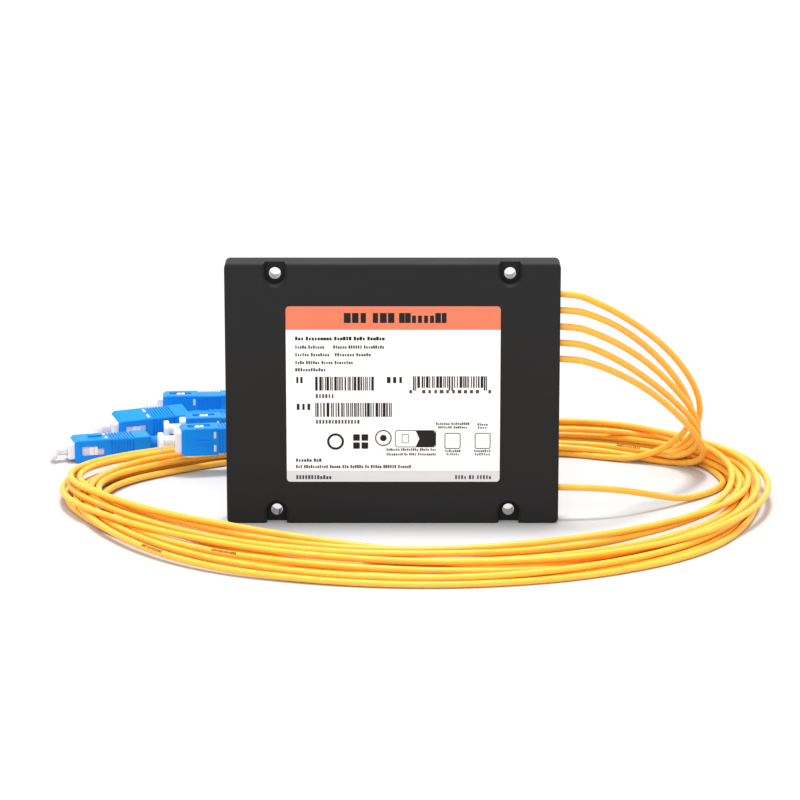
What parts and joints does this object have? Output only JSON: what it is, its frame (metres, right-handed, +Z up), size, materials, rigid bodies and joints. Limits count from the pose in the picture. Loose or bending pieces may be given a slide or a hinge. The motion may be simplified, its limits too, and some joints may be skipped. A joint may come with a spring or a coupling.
{
  "type": "plc fibre splitter",
  "caption": "Flat black box module that splits one optical fibre input into several outputs, with coiled yellow patch leads ending in capped blue push-pull square plugs.",
  "frame": {"origin": "middle of the box's lower long edge face, on the surface it stands on (cables and plugs left out)", "axes": "+X along the box's long side towards the cable exits, +Y from the label face to the back, +Z up"},
  "size_m": [0.2297, 0.2013, 0.08],
  "materials": {
    "black_abs": "fine matt grain",
    "label_paper": "smooth white sticker with coloured bands",
    "steel": "plain",
    "silicone": "cured sealant",
    "silica": "polished",
    "foam_pad": "closed-cell foam tape",
    "clamp_plastic": "plain",
    "cable_jacket": "satin yellow-orange jacket",
    "grip_blue": "semi-gloss",
    "frame_white": "semi-gloss",
    "cap_plastic": "translucent",
    "zirconia": "polished ceramic",
    "boot_blue": "soft moulded",
    "aluminium": "crimped"
  },
  "bodies": {
    "module": {"adhesive_pad": "foam_pad", "base_tray": "black_abs", "boot_1": "boot_blue", "boot_2": "boot_blue", "boot_3": "boot_blue", "boot_4": "boot_blue", "boot_5": "boot_blue", "boot_6": "boot_blue", "cable_coil": "cable_jacket", "case_end_seals": "silicone", "crimp_sleeves": "aluminium", "ferrule_springs": "steel", "fibre_arrays": "silica", "input_clamp": "clamp_plastic", "input_fibre": "silica", "input_lead": "cable_jacket", "label": "label_paper", "output_clamp": "clamp_plastic", "output_fibres": "silica", "output_lead_1": "cable_jacket", "output_lead_2": "cable_jacket", "output_lead_3": "cable_jacket", "output_lead_4": "cable_jacket", "output_lead_5": "cable_jacket", "plug_frame_1": "frame_white", "plug_frame_2": "frame_white", "plug_frame_3": "frame_white", "plug_frame_4": "frame_white", "plug_frame_5": "frame_white", "plug_frame_6": "frame_white", "plug_lead_1": "cable_jacket", "plug_lead_2": "cable_jacket", "plug_lead_3": "cable_jacket", "plug_lead_4": "cable_jacket", "plug_lead_5": "cable_jacket", "plug_lead_6": "cable_jacket", "splitter_case": "steel", "splitter_chip": "silica", "stop_rings": "steel", "top_cover": "black_abs"},
    "grip_1": {"grip_1": "grip_blue"},
    "dust_cap_1": {"dust_cap_1": "cap_plastic"},
    "ferrule_1": {"ferrule_1": "zirconia"},
    "grip_2": {"grip_2": "grip_blue"},
    "dust_cap_2": {"dust_cap_2": "cap_plastic"},
    "ferrule_2": {"ferrule_2": "zirconia"},
    "grip_3": {"grip_3": "grip_blue"},
    "dust_cap_3": {"dust_cap_3": "cap_plastic"},
    "ferrule_3": {"ferrule_3": "zirconia"},
    "grip_4": {"grip_4": "grip_blue"},
    "dust_cap_4": {"dust_cap_4": "cap_plastic"},
    "ferrule_4": {"ferrule_4": "zirconia"},
    "grip_5": {"grip_5": "grip_blue"},
    "dust_cap_5": {"dust_cap_5": "cap_plastic"},
    "ferrule_5": {"ferrule_5": "zirconia"},
    "grip_6": {"grip_6": "grip_blue"},
    "dust_cap_6": {"dust_cap_6": "cap_plastic"},
    "ferrule_6": {"ferrule_6": "zirconia"}
  },
  "joints": [
    {"name": "grip_1_slide", "type": "slide", "parent": "module", "child": "grip_1", "axis": [0.9976, 0.0698, 0], "range_m": [0, 0.002]},
    {"name": "dust_cap_1_pull", "type": "slide", "parent": "module", "child": "dust_cap_1", "axis": [-0.9976, -0.0698, 0], "range_m": [0, 0.006]},
    {"name": "ferrule_1_press", "type": "slide", "parent": "module", "child": "ferrule_1", "axis": [0.9976, 0.0698, 0], "range_m": [0, 0.001], "stiffness_N_per_m": 1500, "deforming": ["ferrule_springs"]},
    {"name": "grip_2_slide", "type": "slide", "parent": "module", "child": "grip_2", "axis": [0.9135, 0.4067, 0], "range_m": [0, 0.002]},
    {"name": "dust_cap_2_pull", "type": "slide", "parent": "module", "child": "dust_cap_2", "axis": [-0.9135, -0.4067, 0], "range_m": [0, 0.006]},
    {"name": "ferrule_2_press", "type": "slide", "parent": "module", "child": "ferrule_2", "axis": [0.9135, 0.4067, 0], "range_m": [0, 0.001], "stiffness_N_per_m": 1500, "deforming": ["ferrule_springs"]},
    {"name": "grip_3_slide", "type": "slide", "parent": "module", "child": "grip_3", "axis": [0.9613, 0.2756, 0], "range_m": [0, 0.002]},
    {"name": "dust_cap_3_pull", "type": "slide", "parent": "module", "child": "dust_cap_3", "axis": [-0.9613, -0.2756, 0], "range_m": [0, 0.006]},
    {"name": "ferrule_3_press", "type": "slide", "parent": "module", "child": "ferrule_3", "axis": [0.9613, 0.2756, 0], "range_m": [0, 0.001], "stiffness_N_per_m": 1500, "deforming": ["ferrule_springs"]},
    {"name": "grip_4_slide", "type": "slide", "parent": "module", "child": "grip_4", "axis": [0.9848, 0.1736, 0], "range_m": [0, 0.002]},
    {"name": "dust_cap_4_pull", "type": "slide", "parent": "module", "child": "dust_cap_4", "axis": [-0.9848, -0.1736, 0], "range_m": [0, 0.006]},
    {"name": "ferrule_4_press", "type": "slide", "parent": "module", "child": "ferrule_4", "axis": [0.9848, 0.1736, 0], "range_m": [0, 0.001], "stiffness_N_per_m": 1500, "deforming": ["ferrule_springs"]},
    {"name": "grip_5_slide", "type": "slide", "parent": "module", "child": "grip_5", "axis": [0.9945, 0.1045, 0], "range_m": [0, 0.002]},
    {"name": "dust_cap_5_pull", "type": "slide", "parent": "module", "child": "dust_cap_5", "axis": [-0.9945, -0.1045, 0], "range_m": [0, 0.006]},
    {"name": "ferrule_5_press", "type": "slide", "parent": "module", "child": "ferrule_5", "axis": [0.9945, 0.1045, 0], "range_m": [0, 0.001], "stiffness_N_per_m": 1500, "deforming": ["ferrule_springs"]},
    {"name": "grip_6_slide", "type": "slide", "parent": "module", "child": "grip_6", "axis": [0.9976, -0.0698, 0], "range_m": [0, 0.002]},
    {"name": "dust_cap_6_pull", "type": "slide", "parent": "module", "child": "dust_cap_6", "axis": [-0.9976, 0.0698, 0], "range_m": [0, 0.006]},
    {"name": "ferrule_6_press", "type": "slide", "parent": "module", "child": "ferrule_6", "axis": [0.9976, -0.0698, 0], "range_m": [0, 0.001], "stiffness_N_per_m": 1500, "deforming": ["ferrule_springs"]}
  ]
}
